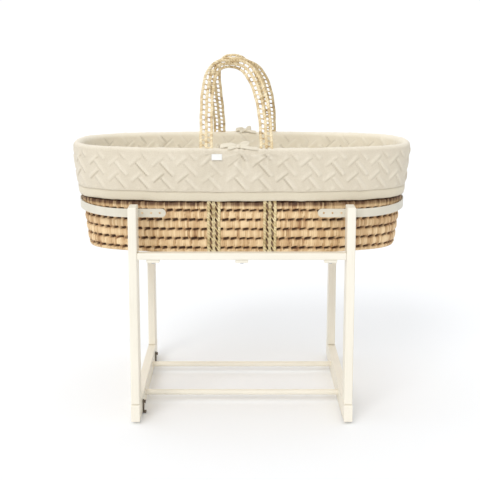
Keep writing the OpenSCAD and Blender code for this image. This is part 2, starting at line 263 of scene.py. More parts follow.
def tape(name, track, width, thick, columns, rows=14, squareness=3.0, pucker=None):
    """A flat rounded tape along a track, closed at both ends; pucker scales its width along it."""
    obj, u, v = grid(name, columns, rows)
    angle = 2 * math.pi * v
    c, s = np.cos(angle), np.sin(angle)
    reach = (np.abs(c) ** squareness + np.abs(s) ** squareness) ** (-1 / squareness)
    end = np.minimum(u, 1 - u) * track.length
    shrink = np.sqrt(np.clip(1 - (1 - np.clip(end / (thick / 2), 0, 1)) ** 2, 0.0, 1))
    half = width / 2 * (pucker(u) if pucker else 1)
    points = track.at(u * track.length, reach * c * half * shrink, reach * s * thick / 2 * shrink)
    lay_uv(obj, u * track.length, v * 2 * (width + thick))
    put_points(obj, points)
    weld(obj)
    face_out(obj)
    smooth(obj)
    return obj


# ---------- shader helpers

class Value:
    """One output of a shader node; arithmetic on it adds Math nodes."""

    def __init__(self, mix, socket):
        self.mix, self.socket = mix, socket

    def math(self, operation, *others):
        inputs = dict(enumerate((self,) + others))
        return self.mix.node("ShaderNodeMath", {"operation": operation}, inputs)

    def __add__(self, other):
        return self.math("ADD", other)

    def __sub__(self, other):
        return self.math("SUBTRACT", other)

    def __rsub__(self, other):
        return self.mix.node("ShaderNodeMath", {"operation": "SUBTRACT"}, {0: other, 1: self})

    def __mul__(self, other):
        return self.math("MULTIPLY", other)

    __radd__, __rmul__ = __add__, __mul__

    def wave(self, pitch):
        """A smooth wave from 0 to 1 that repeats every pitch."""
        return (self * (2 * math.pi / pitch)).math("SINE") * 0.5 + 0.5


class Finish:
    """A material being built on one Principled shader."""

    def __init__(self, name, **constants):
        self.material = bpy.data.materials.new(name)
        self.material.use_nodes = True
        self.tree = self.material.node_tree
        self.shader = self.tree.nodes["Principled BSDF"]
        for key, value in constants.items():
            self.shader.inputs[key.replace("_", " ")].default_value = value

    def node(self, kind, settings=None, inputs=None, out=0):
        node = self.tree.nodes.new(kind)
        for key, value in (settings or {}).items():
            if key == "stops":
                ramp = node.color_ramp
                while len(ramp.elements) < len(value):
                    ramp.elements.new(1)
                for element, (place, colour) in zip(ramp.elements, value):
                    element.position, element.color = place, (*colour, 1)
            else:
                setattr(node, key, value)
        for key, value in (inputs or {}).items():
            self.feed(node.inputs[key], value)
        return Value(self, node.outputs[out])

    def feed(self, socket, value):
        if isinstance(value, Value):
            self.tree.links.new(value.socket, socket)
        else:
            socket.default_value = value

    def set(self, name, value):
        self.feed(self.shader.inputs[name], value)

    def place(self):
        return self.node("ShaderNodeTexCoord", out="Object")

    def uv(self):
        return self.node("ShaderNodeTexCoord", out="UV")

    def parts(self, vector):
        return [self.node("ShaderNodeSeparateXYZ", None, {0: vector}, out=k) for k in range(3)]

    def stretch(self, vector, scale):
        return self.node("ShaderNodeMapping", None, {"Vector": vector, "Scale": scale})

    def noise(self, vector, scale, detail=3.0, rough=0.5):
        inputs = {"Vector": vector, "Scale": scale, "Detail": detail, "Roughness": rough}
        return self.node("ShaderNodeTexNoise", None, inputs)

    def noted(self, name):
        return self.node("ShaderNodeAttribute", {"attribute_name": name}, out="Fac")

    def ramp(self, value, *stops):
        return self.node("ShaderNodeValToRGB", {"stops": stops}, {0: value})

    def blend(self, share, a, b):
        return self.node("ShaderNodeMix", {"data_type": "RGBA"}, {0: share, 6: a, 7: b}, out=2)

    def bump(self, height, strength, distance):
        inputs = {"Height": height, "Strength": strength, "Distance": distance}
        return self.node("ShaderNodeBump", None, inputs)


def hue(r, g, b):
    """A colour given in screen values from 0 to 255, as the shader's linear values."""
    def linear(x):
        x /= 255
        return x / 12.92 if x <= 0.04045 else ((x + 0.055) / 1.055) ** 2.4
    return (linear(r), linear(g), linear(b))


def opaque(colour):
    return (*colour, 1.0)


# ---------- finishes

def painted_wood(along):
    """Cream paint with faint brush marks along one axis of a board."""
    made = Finish("painted_wood_" + "xyz"[along], Roughness=0.42)
    scale = [260.0, 260.0, 260.0]
    scale[along] = 9.0
    place = made.place()
    marks = made.noise(made.stretch(place, scale), 1.0, 4.0, 0.6)
    cloud = made.noise(place, 9.0, 2.0)
    colour = made.ramp(marks * 0.5 + cloud * 0.5, (0.3, hue(232, 226, 210)), (0.7, hue(241, 235, 221)))
    made.set("Base Color", colour)
    made.set("Roughness", marks * 0.16 + 0.34)
    made.set("Normal", made.bump(marks, 0.22, 0.0006))
    return made.material


def palm_leaf(name, pale, straw, brown, dark, fibre=1.0):
    """Dried palm leaf: strands of their own tint, fine fibres, and painted shade in the gaps."""
    made = Finish(name, Roughness=0.62)
    flat = made.uv()
    tint, gap = made.noted("tint"), made.noted("gap")
    fibres = made.noise(made.stretch(flat, (1500.0 * fibre, 60.0, 1.0)), 1.0, 3.0, 0.7)
    blotch = made.noise(made.stretch(flat, (42.0, 42.0, 1.0)), 1.0, 3.0)
    tone = tint * 0.55 + fibres * 0.45 + blotch * 0.42 - 0.08
    colour = made.ramp(tone, (0.2, brown), (0.45, straw), (0.85, pale))
    # painted shade: the gap mark blends towards the dark colour
    colour = made.blend(gap, colour, opaque(dark))
    made.set("Base Color", colour)
    made.set("Roughness", fibres * 0.25 + 0.5)
    made.set("Normal", made.bump(fibres, 0.5, 0.0005))
    return made.material


KNIT_ROW = 1.7 * MM  # height of one row of knit stitches


def knit(name, light, shade, rib=2.6 * MM):
    """Ribbed jersey: ribs up the cloth, painted shade under each cable's edge and a painted highlight on
    its crest; the cloth inside the basket is painted lighter.
    """
    made = Finish(name, Roughness=0.95, Sheen_Weight=0.25, Sheen_Roughness=0.5)
    across, up, _ = made.parts(made.uv())
    ribs, rows = across.wave(rib), up.wave(KNIT_ROW)
    fuzz = made.noise(made.uv(), 480.0, 3.0, 0.75)
    cloud = made.noise(made.uv(), 14.0, 2.0)
    low, high, pale = made.noted("low"), made.noted("high"), made.noted("pale")
    # painted highlight: high lightens the cable crests and the top of the roll
    tone = ribs * 0.24 + rows * ribs * 0.12 + fuzz * 0.62 + cloud * 0.2 + high * 0.24 - 0.15
    cloth_tone = made.ramp(tone, (0.05, shade), (0.7, light))
    # painted light: the cloth inside the basket is made paler, to lift its shade
    painted_light_tone = made.ramp(tone, (0.05, PAINTED_LIGHT_INSIDE_SHADE), (0.7, PAINTED_LIGHT_INSIDE))
    colour = made.blend(pale, cloth_tone, painted_light_tone)
    # painted shade: low darkens the grooves under the cables
    made.set("Base Color", made.blend(low * 0.75, colour, opaque(PAINTED_GROOVE_SHADE)))
    height = ribs + rows * 0.35 + fuzz * 0.5
    made.set("Normal", made.bump(height, 0.5, 0.0009))
    return made.material


def plain_cloth(name, light, shade, thread=0.8 * MM):
    made = Finish(name, Roughness=0.9, Sheen_Weight=0.2)
    place = made.place()
    x, y, z = made.parts(place)
    weave = (x + y).wave(thread) * 0.5 + z.wave(thread) * 0.5
    cloud = made.noise(place, 60.0, 3.0)
    made.set("Base Color", made.ramp(weave * 0.4 + cloud * 0.6, (0.2, shade), (0.8, light)))
    made.set("Normal", made.bump(weave + cloud, 0.3, 0.0004))
    return made.material


def band_plastic():
    made = Finish("band_plastic", Roughness=0.45)
    place = made.place()
    grain = made.noise(place, 700.0, 2.0)
    cloud = made.noise(place, 20.0, 2.0)
    made.set("Base Color", made.ramp(cloud, (0.3, hue(208, 202, 186)), (0.7, hue(220, 214, 198))))
    made.set("Roughness", grain * 0.2 + 0.35)
    made.set("Normal", made.bump(grain, 0.15, 0.0003))
    return made.material


def metal(name, light, shade, metallic, rough):
    made = Finish(name, Metallic=metallic)
    grain = made.noise(made.stretch(made.place(), (300.0, 300.0, 1500.0)), 1.0, 3.0)
    made.set("Base Color", made.ramp(grain, (0.3, shade), (0.7, light)))
    made.set("Roughness", grain * 0.2 + rough)
    made.set("Normal", made.bump(grain, 0.1, 0.0002))
    return made.material


def raw_beech():
    made = Finish("raw_beech", Roughness=0.7)
    grain = made.noise(made.stretch(made.place(), (500.0, 500.0, 25.0)), 1.0, 4.0)
    made.set("Base Color", made.ramp(grain, (0.3, hue(196, 158, 112)), (0.7, hue(222, 190, 146))))
    made.set("Normal", made.bump(grain, 0.3, 0.0004))
    return made.material


def foam():
    made = Finish("foam", Roughness=0.95)
    pores = made.noise(made.place(), 900.0, 2.0)
    made.set("Base Color", made.ramp(pores, (0.3, hue(226, 214, 170)), (0.7, hue(244, 236, 205))))
    made.set("Normal", made.bump(pores, 0.6, 0.0008))
    return made.material


FINISHES = {}


def finish(name):
    """Makes each finish once, when a piece first asks for it."""
    if name not in FINISHES:
        FINISHES[name] = RECIPES[name]()
    return FINISHES[name]


# the last of these palm colours is the painted shade in the weave's gaps
PALE_LEAF, STRAW, TAN, PALM_GAP_SHADE = hue(240, 212, 168), hue(204, 168, 122), hue(138, 94, 56), hue(76, 46, 24)
OATMEAL, OATMEAL_SHADE = hue(242, 233, 215), hue(182, 169, 144)
PAINTED_LIGHT_INSIDE, PAINTED_LIGHT_INSIDE_SHADE = hue(250, 243, 226), hue(224, 213, 189)  # painted light: the cloth inside the basket, made paler
PAINTED_GROOVE_SHADE = hue(160, 144, 116)  # painted shade: the darkest the cloth gets, in the groove under a cable's edge

RECIPES = {
    "paint_x": lambda: painted_wood(0),
    "paint_y": lambda: painted_wood(1),
    "paint_z": lambda: painted_wood(2),
    "woven_palm": lambda: palm_leaf("woven_palm", PALE_LEAF, STRAW, TAN, PALM_GAP_SHADE),
    # the last colour of each braid is the painted shade in its gaps and creases
    "palm_braid": lambda: palm_leaf("palm_braid", hue(242, 226, 190), hue(218, 194, 148),
                                    hue(140, 104, 62), hue(76, 50, 26), 0.5),
    "strap_braid": lambda: palm_leaf("strap_braid", hue(232, 214, 170), hue(204, 182, 132),
                                     hue(150, 122, 76), hue(70, 48, 26), 0.5),
    "knit": lambda: knit("cable_knit", OATMEAL, OATMEAL_SHADE),
    "jersey": lambda: knit("jersey", hue(237, 228, 207), hue(203, 191, 166), 1.8 * MM),
    "tie": lambda: knit("tie_jersey", hue(248, 241, 224), hue(212, 201, 176), 1.8 * MM),
    "tag_cloth": lambda: plain_cloth("tag_cloth", hue(248, 248, 246), hue(228, 228, 224)),
    "cotton": lambda: plain_cloth("mattress_cotton", hue(246, 244, 238), hue(224, 221, 212)),
    "band": band_plastic,
    "steel": lambda: metal("zinc_steel", hue(206, 208, 210), hue(168, 170, 173), 1.0, 0.3),
    "dark_metal": lambda: metal("dark_metal", hue(122, 110, 96), hue(84, 75, 64), 0.3, 0.4),
    "raw_wood": raw_beech,
    "foam": foam,
}


# ---------- the stand's finishes

CAD_FINISHES = {
    "paint_z": ["front_left_post", "front_right_post", "rear_left_post", "rear_right_post"],
    "paint_y": ["left_rocker", "right_rocker", "left_slat", "centre_slat", "right_slat"],
    "paint_x": ["front_top_rail", "rear_top_rail", "front_bottom_rail", "rear_bottom_rail", "bolt_caps"],
    "band": ["left_band", "right_band"],
    "steel": ["left_band_screws", "right_band_screws", "slat_screws", "top_rail_bolts",
              "barrel_nuts", "post_screws", "bottom_rail_screws"],
    "dark_metal": ["front_stabiliser", "rear_stabiliser", "front_stabiliser_bolt", "rear_stabiliser_bolt"],
    "raw_wood": ["post_dowels"],
    "woven_palm": ["rim_binding"],
    "foam": ["mattress_core"],
}


def finish_stand():
    for name, nodes in CAD_FINISHES.items():
        for node in nodes:
            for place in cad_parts[node].material_slots:
                place.material = finish(name)


# ---------- weaving

FIRST_ROW = 11.7 * MM  # height of the lowest line of stitches above the underside


def woven(s, z, sizes):
    """Height of the weave above the wall, each strand's tint, and how deep in a gap a point is; the tint
    and the gap also carry painted shade.
    """
    cell = GIRTH / sizes.stitches
    row = (z - SEAT_Z - FIRST_ROW) / sizes.row_pitch
    level, line = np.floor(row), np.round(row)
    up = row - level
    from_line = (row - line) * sizes.row_pitch
    shift = 0.5 * np.mod(line, 2) + 0.2 * (scatter(line, 3.0) - 0.5)
    stitch = s / cell + shift
    which = np.floor(stitch)
    beside = (stitch - which - 0.5 + 0.14 * (scatter(which, line, 2.0) - 0.5)) * cell
    long_half = (0.35 + 0.1 * scatter(line, which)) * cell
    tall = (2.9 + 1.2 * scatter(which, line, 7.0)) * MM
    slanted = np.abs(from_line - 0.16 * beside)
    gap = ease((long_half - np.abs(beside)) / (1.6 * MM)) * ease((tall - slanted) / (1.6 * MM))
    strand_w = cell / 4
    lean = 0.35 * (scatter(level, 9.0) - 0.5)
    strand = s / strand_w + lean * up * 4 + scatter(level, 5.0)
    ridge = np.abs(np.sin(math.pi * strand)) ** 0.6
    roll = 1 - np.abs(2 * up - 1) ** 2.6
    uneven = scatter(np.floor(strand), level)
    height = sizes.bulge * roll * (0.85 + 0.3 * uneven) + 0.7 * MM * ridge - 5.4 * MM * gap
    # painted shade: each strand is darker at its edges, and each row towards its top and bottom
    tint = 0.2 + 0.85 * uneven - 0.45 * (1 - ridge) - 0.35 * (1 - roll)
    tint = tint - 0.3 * ease(wobble(s, 40, 2.0) * 1.5) * scatter(level, 8.0)
    # the gap mark also paints shade along the edges of each row
    return height, tint, np.maximum(gap, 0.3 * (1 - roll) ** 2)


def behind_straps(points):
    """Painted shade: 1 where a point of the wall lies behind a carrying strap, fading to 0 beside it."""
    near = 0
    for node in ("left_carry_strap", "right_carry_strap"):
        low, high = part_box(node)
        beside = np.abs(points[:, 0] - (low.x + high.x) / 2)
        near = near + ease((16.5 * MM - beside) / (3 * MM))
    return near


def weave_wall(sizes):
    """The woven wall: fine rows outside, plain inside, closed over the rim."""
    fine_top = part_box("skirt_hem")[1].z + 6 * MM
    bottom = SEAT_Z + 1.5 * MM
    outside = list(np.linspace(bottom, fine_top, 92)) + list(np.linspace(fine_top, RIM_Z, 5))[1:]
    inside = [RIM_Z, (RIM_Z + FLOOR_Z) / 2, bottom]
    heights = np.array(outside + inside + [bottom])
    thick = 6 * MM  # of the woven wall
    offsets = np.array([0.0] * len(outside) + [-thick] * len(inside) + [0.0])
    is_out = np.array([1.0] * len(outside) + [0.0] * len(inside) + [1.0])
    obj, u, v = grid("basket_wall_weave", sizes.stitches * 9, len(heights) - 1)
    index = np.round(v * (len(heights) - 1)).astype(int)
    z, off, out = heights[index], offsets[index], is_out[index]
    height, tint, gap = woven(u * GIRTH, z, sizes)
    # the wall tucks in at its foot and its rows fade out under the rim
    tuck = 3.0 * MM * (1 - ease((z - bottom) / (7 * MM)))
    top = 1 - ease((z - RIM_Z + 12 * MM) / (10 * MM))
    sag = 0.8 * MM * wobble(u * GIRTH, 14, 4.0)
    points = around(u, off + out * (height * top - tuck), z + out * sag * ease((RIM_Z - z) / 0.05))
    lay_uv(obj, u * GIRTH, z)
    # it is darker under the hem
    under_hem = ease((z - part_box("skirt_hem")[0].z + 17 * MM) / (8 * MM))
    note(obj, "tint", tint - 0.5 * under_hem)
    # painted shade behind the straps goes into the gap mark, with the darker band under the hem
    dark = np.maximum(0.85 * behind_straps(points), under_hem * (1.0 - 0.6 * np.clip(tint, 0, 1)))
    note(obj, "gap", np.maximum(gap, dark) * out)
    put_points(obj, points)
    weld(obj)
    smooth(obj)
    return finish_piece(obj, finish("woven_palm"), "basket", "basket_wall", slot="woven_palm")


def weave_base(sizes):
    """The woven base: rings of stitches under a flat floor."""
    obj, u, v = grid("basket_base_weave", sizes.stitches * 4, 84)
    under = v < 0.75
    share = np.where(under, v / 0.75, (1 - v) / 0.25)
    share = np.where(v == 1, 0, share)
    rim_off = -3.4 * MM
    ring = around(u, rim_off, np.full_like(u, SEAT_Z))
    from_edge = (1 - share) * BASE_HIGH.y
    height, tint, gap = woven(u * GIRTH, SEAT_Z + from_edge + sizes.row_pitch, sizes)
    relief = np.where(under, 0.6 * (height - sizes.bulge) * ease((1 - share) * 20), 0)
    z = np.where(under, SEAT_Z - relief, FLOOR_Z - 1 * MM)
    points = np.stack([ring[:, 0] * share, ring[:, 1] * share, z], axis=-1)
    lay_uv(obj, u * GIRTH, from_edge)
    note(obj, "tint", tint)
    # painted shade in the gaps and along the row edges, as on the wall
    note(obj, "gap", gap * under)
    put_points(obj, points)
    weld(obj)
    smooth(obj)
    return finish_piece(obj, finish("woven_palm"), "basket", "basket_base", slot="woven_palm")


# ---------- open braid for straps and handles

EDGE_LANE, EDGE_INNER = 12.4 * MM, 9.2 * MM  # middle and inner side of an edge cord
MIDDLE_LANE = 3.3 * MM  # half width of the middle cord
# rows of points across half of the braid, in millimetres from its centre line
LANE_MARKS = [0, 1.2, 2.3, 3.3, 6.2, 9.2, 10.6, 12.3, 14.2, 15.8]


def braid(name, track, sizes, slant, open_steps):
    """An open braid: two edge cords and a middle one, joined by a row of slanting ties."""
    across = np.array([-m for m in LANE_MARKS[:0:-1]] + LANE_MARKS) * MM
    per_cell = 8  # columns of points from one tie to the next
    cells = max(4, round(track.length / sizes.braid_pitch))
    obj, u, v = grid(name, cells * per_cell, len(across) - 1)
    w = across[np.round(v * (len(across) - 1)).astype(int)]
    put_points(obj, np.stack([u * track.length, w, 0 * w], axis=-1))
    centres = np.empty(len(obj.data.polygons) * 3)
    obj.data.polygons.foreach_get("center", centres)
    centres = centres.reshape(-1, 3)
    step = np.floor(centres[:, 0] / track.length * cells * per_cell)
    late = np.where(centres[:, 1] > 0, 4, 0)
    open_step = np.mod(step + late, per_cell) < open_steps
    beside = np.abs(centres[:, 1])
    hole = open_step & (beside > MIDDLE_LANE) & (beside < EDGE_INNER)
    cut_faces(obj, hole)
    modify(obj, "SOLIDIFY", thickness=2 * MM, offset=0)
    modify(obj, "SUBSURF", levels=1, render_levels=1)
    flat = points_of(obj)
    s, w, h = flat[:, 0], flat[:, 1], flat[:, 2]
    beside = np.abs(w)
    edge = np.clip(1 - ((beside - EDGE_LANE) / (4.3 * MM)) ** 2, 0, 1) ** 0.5
    middle = np.clip(1 - (w / (4.6 * MM)) ** 2, 0, 1) ** 0.5
    half_pitch = sizes.braid_pitch / 2
    twist = np.abs(np.sin(math.pi * (s / half_pitch - w / (9 * MM))))
    plait = np.abs(np.sin(math.pi * (s / half_pitch + beside / (5 * MM))))
    thick = 0.9 + 1.5 * edge * (0.7 + 0.45 * twist) + 1.9 * middle * (0.65 + 0.5 * plait)
    saw = np.clip((beside - 6.2 * MM) / (2.35 * MM), -1, 1) * np.sign(w)
    s = s - slant * saw + 0.5 * MM * np.sin(s / (17 * MM))
    which = np.where(beside < 5 * MM, 0, np.sign(w))
    strand = np.floor(s / half_pitch - which * 0.5)
    # painted shade between the cords and where the strands turn under each other
    note(obj, "tint", 0.1 + 0.9 * scatter(strand, which + 2) - 0.35 * (1 - np.maximum(edge, middle)))
    note(obj, "gap", 0.5 * ease((0.4 - np.where(beside < 5 * MM, plait, twist)) * 3))
    lay_uv(obj, w, s)
    put_points(obj, track.at(np.clip(s, 0, track.length), w + 0.4 * MM * np.sin(s / (9 * MM)), h * thick))
    face_out(obj)
    smooth(obj)
    return obj


def carry_strap(sizes, side):
    """A strap from the rim down the wall, under the base and up again."""
    node = "left_carry_strap" if side < 0 else "right_carry_strap"
    low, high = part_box(node)
    x = (low.x + high.x) / 2
    out = high.y - 1.2 * MM
    foot = BASE_HIGH.y + 2.6 * MM
    under = SEAT_Z - 2.2 * MM
    route = [(x, -out, high.z), (x, -foot, SEAT_Z + 6 * MM), (x, 2.5 * MM - foot, under),
             (x, foot - 2.5 * MM, under), (x, foot, SEAT_Z + 6 * MM), (x, out, high.z)]
    line = soften(fill_in(route, 2 * MM), 8)
    strap = braid(node + "_braid", Track(line, (1, 0, 0)), sizes, -4.2 * MM, 5)
    return finish_piece(strap, finish("strap_braid"), "basket", node, slot="palm_braid")


def handle_track(end, height, half, shift, skew, power, sizes):
    """The arch of a handle, which turns its broad side upwards towards the top."""
    t = np.radians(np.linspace(0.0, 180.0, 241))
    reach = (np.abs(np.cos(t)) ** power + np.abs(np.sin(t)) ** power) ** (-1 / power)
    up = reach * np.sin(t)
    x = shift + reach * half * np.cos(t) + skew * up * up
    y = up * height
    sink = 4 * MM
    x = np.concatenate([[x[0]], x, [x[-1]]])
    y = np.concatenate([[-sink], y, [-sink]])
    turn = math.radians(sizes.handle_twist) * np.concatenate([[0], np.sin(t) ** 4, [0]])
    dx, dy = np.gradient(x), np.gradient(y)
    size = np.hypot(dx, dy)
    dx, dy = dx / size, dy / size
    side = np.stack([dy * np.cos(turn), -dx * np.cos(turn), np.sin(turn)], axis=-1)
    face = np.stack([-dy * np.sin(turn), dx * np.sin(turn), np.cos(turn)], axis=-1)
    points = np.stack([x, y, 0 * x], axis=-1)
    lean = Matrix.Rotation(end * sizes.handle_lean, 3, "X") @ Matrix.Rotation(math.pi / 2, 3, "X")
    turned = np.array(lean).T
    world = points @ turned + np.array([0, end * HINGE_Y, HINGE_Z])
    return Track(world, side @ turned, face @ turned)


# each arch, in millimetres: height, half width, shift and skew sideways; then its squareness
FRONT_ARCH = (239, 70, -13, -16, 2.9)
REAR_ARCH = (254, 67, 8, -30, 3.6)


def handle(end, height, half, shift, skew, power, sizes):
    name = "front_handle" if end < 0 else "rear_handle"
    track = handle_track(end, height * MM, half * MM, shift * MM, skew * MM, power, sizes)
    piece = braid(name + "_braid", track, sizes, 0.6 * MM, 6)
    return finish_piece(piece, finish("palm_braid"), name, name, slot="palm_braid")


# ---------- the dressing

# the two sorts of cable: shift round and down, slope, half size round and down, strength
CABLES = ((0.58, 0.5, -1, 14 * MM, 12 * MM, 0.7), (0.0, 0.0, 1, 15 * MM, 18 * MM, 1.0))
CABLE_HALF_W = 5.6 * MM
# where the cloth is gathered on the rim: x, how many creases, how far they reach
GATHERS = ((0.0, 7, 90 * MM), (-0.068, 9, 45 * MM), (0.06, 9, 45 * MM))


def bar(s, t, slope, half_x, half_y, half_w):
    """Height of one slanting cable round its own centre, and the painted shade of the groove under its
    lower edge.
    """
    length = math.hypot(half_x, half_y)
    ax, ay = half_x / length, slope * half_y / length
    along = np.abs(s * ax + t * ay)
    side = np.clip((t * ax - s * ay) / half_w, -1.6, 1.6)
    ends = ease((length - along) / half_w)
    share = np.clip((side + 1) / 2, 0, 1)
    crest = share ** 0.8 * (1 - share ** 7) * 1.25
    cords = 0.82 + 0.18 * np.cos(4 * math.pi * share)
    groove = np.clip(1 - np.abs(side - 1.05) / 0.42, 0, 1) * ease((length - along) / (0.6 * half_w))
    return crest * cords * ends, groove


def lattice(s, t, cloth):
    """Cable pattern: long falling cables that cross over shorter rising ones, and painted shade in their
    grooves.
    """
    count = round(GIRTH / cloth.cable_across)
    across = GIRTH / count
    height, low = 0 * s, 0 * s
    for shift_s, shift_t, slope, half_x, half_y, share in CABLES:
        i = s / across - shift_s
        j = t / cloth.cable_up - shift_t
        which = (np.mod(np.round(i), count), np.round(j), slope)
        ds = (i - np.round(i)) * across + 5 * MM * (scatter(*which) - 0.5)
        dt = (j - np.round(j)) * cloth.cable_up + 4 * MM * (scatter(*which[::-1]) - 0.5)
        crest, groove = bar(ds, dt, slope, half_x, half_y, CABLE_HALF_W)
        uneven = share * (0.7 + 0.5 * scatter(which[1], which[0], 3.0))
        faint = share * (0.2 + 0.9 * scatter(which[0], which[1], 6.0) ** 1.5)
        low = np.maximum(low * (1 - ease(crest * 4)), groove * faint)
        height = np.maximum(height, crest * uneven)
    return height, low


def pull_folds(s, t, centre, spread, reach):
    """Creases that run out from a gathered point at the top edge."""
    ds = s - centre
    distance = np.hypot(ds, t)
    angle = np.arctan2(t, ds)
    fade = ease(1 - distance / reach) * ease(distance / (8 * MM))
    return fade * np.sin(angle * spread) ** 3


def distance_round(x, end):
    """How far round the basket its front or rear side has the given x."""
    u = np.linspace(0, 1, FINE, endpoint=False)
    ring = around(u, 0.0, np.full_like(u, RIM_Z))
    side = ring[:, 1] * end > 0
    best = np.argmin(np.where(side, np.abs(ring[:, 0] - x), 9))
    return u[best] * GIRTH


def dressing_relief(s, t, cloth, above):
    """Pattern and folds of the outer dressing; t runs down from the rim, above is 1 on the roll."""
    height, low = lattice(s, t, cloth)
    relief = cloth.cable_height * (height - 0.35 * low) * (1 - 0.7 * above)
    for x, spread, reach in GATHERS:
        for end in (FRONT, REAR):
            relief = relief + 2.2 * MM * pull_folds(s, t, distance_round(x, end), spread, reach)
    # the second value is the painted shade in the grooves, none on the roll
    return relief, low * (1 - above)


UP_ROWS, OVER_ROWS, IN_ROWS = 45, 16, 18  # rows of points up the skirt, over the roll and down inside


def dress_outside(cloth):
    """Skirt and roll in one cloth: up from the seam, over the rim and a little way down inside."""
    seam_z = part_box("skirt_cover")[0].z
    high = RIM_Z + 8 * MM
    roll_r, roll_off, skirt_off, inside_off = 10.5 * MM, -3 * MM, 9 * MM, -12 * MM
    turns = np.radians(np.linspace(0, 180, OVER_ROWS))
    rise = np.linspace(seam_z, high, UP_ROWS + 1)
    lift = (rise - rise[0]) / (rise[-1] - rise[0])
    fall = np.linspace(high, RIM_Z - 55 * MM, IN_ROWS + 1)[1:]
    profile_z = np.concatenate([rise[:-1], high + roll_r * np.sin(turns), fall])
    profile_off = np.concatenate([skirt_off - 1.5 * MM * lift[:-1] ** 4, roll_off + roll_r * np.cos(turns),
                                  np.linspace(roll_off - roll_r, inside_off, IN_ROWS + 1)[1:]])
    nose = np.concatenate([np.zeros(UP_ROWS), np.sin(turns), np.zeros(IN_ROWS)])
    inner = np.concatenate([np.zeros(UP_ROWS), (1 - np.cos(turns)) / 2, np.ones(IN_ROWS)])
    along = np.concatenate([[0], np.cumsum(np.hypot(np.diff(profile_z), np.diff(profile_off)))])
    rim_at = along[UP_ROWS]
    rows = len(along) - 1
    obj, u, v = grid("skirt_and_roll", 620, rows)
    index = np.round(v * rows).astype(int)
    s, down = u * GIRTH, rim_at - along[index]
    # above is 1 on the roll, from just under the rim to a little way inside
    above = ease((8 * MM - down) / (9 * MM)) * ease((down + 37 * MM) / (9 * MM))
    relief, low = dressing_relief(s, down, cloth, above)
    sewn = ease(along[index] / (11 * MM))
    relief, low = relief * sewn, low * sewn
    hang = ease(down / (90 * MM))
    wave = 1.1 * MM * wobble(s, 60, 6.0) * hang + 0.8 * MM * wobble(s, 25, 7.0)
    gather = 0.5 * MM * wobble(s, 300, 11.0, 3) * above
    push = relief + wave + gather
    tilt = nose[index]
    z = profile_z[index] + push * tilt + 1.2 * MM * wobble(s, 30, 5.0) * hang
    outward = (1 - 2 * inner[index]) * (1 - tilt)
    points = around(u, profile_off[index] + push * outward, z)
    lay_uv(obj, s, down)
    # painted shade in the grooves under the cables
    note(obj, "low", low)
    # painted highlight on the cable crests and along the top of the roll
    note(obj, "high", np.maximum(0.8 * relief / cloth.cable_height * (1 - above), 0.9 * tilt ** 2))
    # painted light: the cloth is paler where it turns inside the basket
    note(obj, "pale", inner[index])
    put_points(obj, points)
    weld(obj)
    modify(obj, "SOLIDIFY", thickness=2.2 * MM, offset=-1)
    smooth(obj)
    finish_piece(obj, finish("knit"), "basket", "skirt_cover", "rim_roll", slot="cable_knit")
    return obj


def dress_hem():
    """The smooth hem under the skirt, with a narrow groove at its seam."""
    low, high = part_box("skirt_hem")
    obj, u, v = grid("skirt_hem_band", 640, 24)
    angle = 2 * math.pi * v
    c, sn = np.cos(angle), np.sin(angle)
    power = 5.0
    reach = (np.abs(c) ** power + np.abs(sn) ** power) ** (-1 / power)
    half_h, half_t = (high.z - low.z) / 2 + 0.4 * MM, 1.9 * MM
    s = u * GIRTH
    wave = 1.1 * MM * wobble(s, 60, 6.0) + 0.8 * MM * wobble(s, 25, 7.0)
    middle = (low.z + high.z) / 2
    z = middle + half_h * reach * sn + 1.2 * MM * wobble(s, 30, 5.0) + 0.5 * MM * wobble(s, 90, 8.0)
    crown = 0.8 * MM * (1 - (reach * sn) ** 2)
    off = 7.3 * MM + half_t * reach * c + wave + np.where(c > 0, crown, 0)
    lay_uv(obj, s, half_h * reach * sn)
    # painted shade along the top and bottom edges of the hem
    note(obj, "low", 0.6 * ease((np.abs(reach * sn) - 0.75) * 4))
    put_points(obj, around(u, off, z))
    weld(obj)
    face_out(obj)
    smooth(obj)
    finish_piece(obj, finish("jersey"), "basket", "skirt_hem", slot="hem_cloth")
    return obj


def dress_inside(cloth):
    """The liner: down the inside of the wall and across the floor."""
    top = RIM_Z - 24 * MM
    low = FLOOR_Z + 3 * MM
    middle = RIM_Z - 75 * MM  # finer rows above this, where the cloth is seen
    drop = np.concatenate([np.linspace(top, middle, 38), np.linspace(middle, low, 30)[1:]])
    floor = np.linspace(1, 0, 9)[1:]
    share = np.concatenate([np.ones(len(drop)), floor])
    heights = np.concatenate([drop, np.full(len(floor), low)])
    rows = len(share) - 1
    obj, u, v = grid("liner_cloth", 600, rows)
    index = np.round(v * rows).astype(int)
    z, inner = heights[index], share[index]
    s, down = u * GIRTH, top - z
    height, groove = lattice(s, down, cloth)
    on_wall = ease((z - low) / (25 * MM)) * ease((RIM_Z - 52 * MM - z) / (10 * MM))
    relief = 1.5 * MM * height * on_wall + 1.0 * MM * wobble(s, 40, 12.0) * on_wall
    off = -8.2 * MM - relief - 3 * MM * (1 - ease((z - low) / (9 * MM)))
    points = around(u, off, z)
    points[:, :2] *= inner[:, None]
    lay_uv(obj, s, down + (1 - inner) * BASE_HIGH.y)
    # painted shade in the grooves under the cables
    note(obj, "low", groove * on_wall)
    # painted light: the whole liner is made paler
    note(obj, "pale", 0 * s + 1)
    put_points(obj, points)
    weld(obj)
    modify(obj, "SOLIDIFY", thickness=1.4 * MM, offset=-1)
    smooth(obj)
    finish_piece(obj, finish("knit"), "basket", "inner_liner", slot="cable_knit")
    return obj


# ---------- ties, tag and mattress

TIE_W, TIE_T = 10 * MM, 1.8 * MM  # width and thickness of the ribbon


